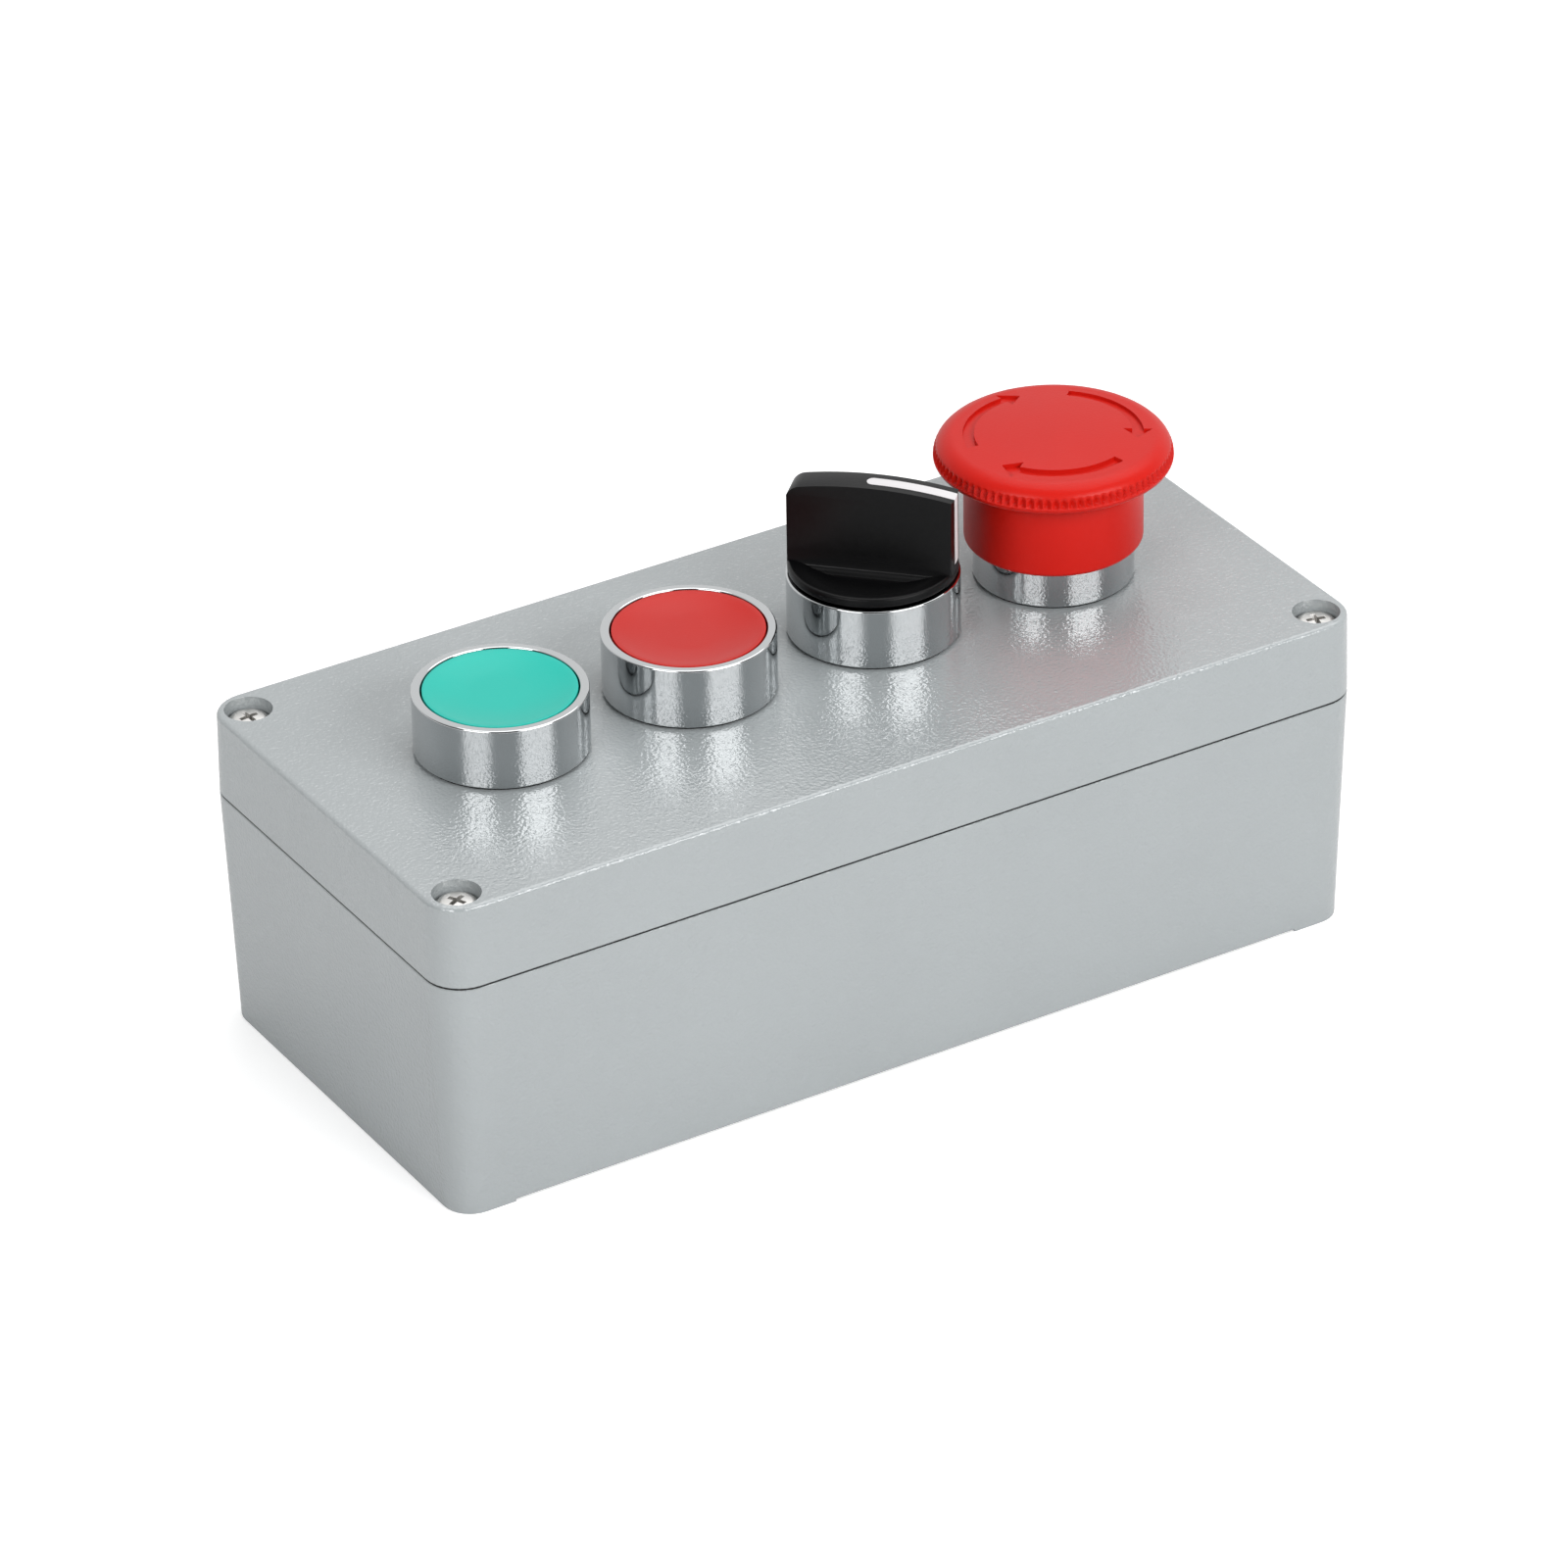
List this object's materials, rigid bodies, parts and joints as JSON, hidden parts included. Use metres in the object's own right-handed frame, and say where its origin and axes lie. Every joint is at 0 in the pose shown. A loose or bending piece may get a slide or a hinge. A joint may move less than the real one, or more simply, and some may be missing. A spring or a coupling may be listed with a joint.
{
  "type": "pushbutton control station",
  "caption": "Die-cast control box with green and red push buttons, a black selector handle with a white pointer, and a red mushroom stop button that turns to release.",
  "frame": {"origin": "middle of the box's underside, at the centre of the four wall fixing holes", "axes": "+X along the box from the green button to the stop button, +Z out of the lid, +Y across the box"},
  "size_m": [0.1772, 0.08, 0.0855],
  "materials": {
    "cast_grey": "satin",
    "bright_ring": "polished",
    "cap_green": "satin",
    "cap_red": "satin",
    "stop_red": "gloss",
    "handle_black": "satin",
    "pointer_white": "satin",
    "drive_white": "matte",
    "plunger_green": "matte",
    "plunger_red": "matte",
    "block_grey": "matte",
    "plug_black": "matte",
    "seal_black": "matte",
    "screw_steel": "satin",
    "plated_steel": "satin",
    "spring_steel": "polished"
  },
  "bodies": {
    "station": {"enclosure_base": "cast_grey", "enclosure_lid": "cast_grey", "lid_gasket": "seal_black", "lid_screws": "screw_steel", "blanking_plug": "plug_black", "plug_seal": "seal_black", "earth_screw": "screw_steel", "earth_washer": "screw_steel", "clamp_screws": "screw_steel", "terminal_screws": "screw_steel", "wire_clamps": "plated_steel", "green_body": "bright_ring", "green_gasket": "seal_black", "green_spring": "spring_steel", "green_collar": "plated_steel", "green_contact_block": "block_grey", "red_body": "bright_ring", "red_gasket": "seal_black", "red_spring": "spring_steel", "red_collar": "plated_steel", "red_contact_block": "block_grey", "selector_body": "bright_ring", "selector_gasket": "seal_black", "selector_spring": "spring_steel", "selector_collar": "plated_steel", "selector_contact_block": "block_grey", "stop_body": "bright_ring", "stop_gasket": "seal_black", "stop_spring": "spring_steel", "stop_collar": "plated_steel", "stop_contact_block": "block_grey"},
    "green_button": {"green_cap": "cap_green", "green_stem": "drive_white"},
    "green_contact": {"green_contact_plunger": "plunger_green"},
    "red_button": {"red_cap": "cap_red", "red_stem": "drive_white"},
    "red_contact": {"red_contact_plunger": "plunger_red"},
    "selector_handle": {"selector_knob": "handle_black", "selector_pointer": "pointer_white", "selector_cam": "drive_white"},
    "selector_slider": {"selector_follower": "plunger_green"},
    "selector_contact": {"selector_contact_plunger": "plunger_green"},
    "stop_slider": {"stop_plunger": "drive_white", "stop_latch_ring": "spring_steel"},
    "stop_head": {"stop_mushroom": "stop_red"},
    "stop_contact": {"stop_contact_plunger": "plunger_red"}
  },
  "joints": [
    {"name": "green_press", "type": "slide", "parent": "station", "child": "green_button", "axis": [0, 0, -1], "range_m": [0, 0.004], "stiffness_N_per_m": 600, "springref_m": -0.005, "deforming": ["green_spring"]},
    {"name": "green_contact_press", "type": "slide", "parent": "station", "child": "green_contact", "axis": [0, 0, -1], "range_m": [0, 0.004]},
    {"name": "red_press", "type": "slide", "parent": "station", "child": "red_button", "axis": [0, 0, -1], "range_m": [0, 0.004], "stiffness_N_per_m": 600, "springref_m": -0.005, "deforming": ["red_spring"]},
    {"name": "red_contact_press", "type": "slide", "parent": "station", "child": "red_contact", "axis": [0, 0, -1], "range_m": [0, 0.004]},
    {"name": "selector_turn", "type": "hinge", "parent": "station", "child": "selector_handle", "pos_m": [0.0177, 0.0012, 0.069], "axis": [0, 0, 1], "range_deg": [0, 90]},
    {"name": "selector_follower_press", "type": "slide", "parent": "station", "child": "selector_slider", "axis": [0, 0, -1], "range_m": [0, 0.003], "deforming": ["selector_spring"]},
    {"name": "selector_contact_press", "type": "slide", "parent": "station", "child": "selector_contact", "axis": [0, 0, -1], "range_m": [0, 0.003]},
    {"name": "stop_press", "type": "slide", "parent": "station", "child": "stop_slider", "axis": [0, 0, -1], "range_m": [0, 0.006], "stiffness_N_per_m": 800, "springref_m": -0.006, "deforming": ["stop_spring"]},
    {"name": "stop_turn", "type": "hinge", "parent": "stop_slider", "child": "stop_head", "pos_m": [0.0531, 0.0012, 0.081], "axis": [0, 0, -1], "range_deg": [0, 40], "stiffness_Nm_per_rad": 0.1},
    {"name": "stop_contact_press", "type": "slide", "parent": "station", "child": "stop_contact", "axis": [0, 0, -1], "range_m": [0, 0.006]}
  ],
  "couplings": [
    {"joint": "green_contact_press", "follows": "green_press", "ratio": 1},
    {"joint": "red_contact_press", "follows": "red_press", "ratio": 1},
    {"joint": "selector_follower_press", "follows": "selector_turn", "m_per_rad": 0.0019},
    {"joint": "selector_contact_press", "follows": "selector_turn", "m_per_rad": 0.0019},
    {"joint": "stop_contact_press", "follows": "stop_press", "ratio": 1}
  ]
}
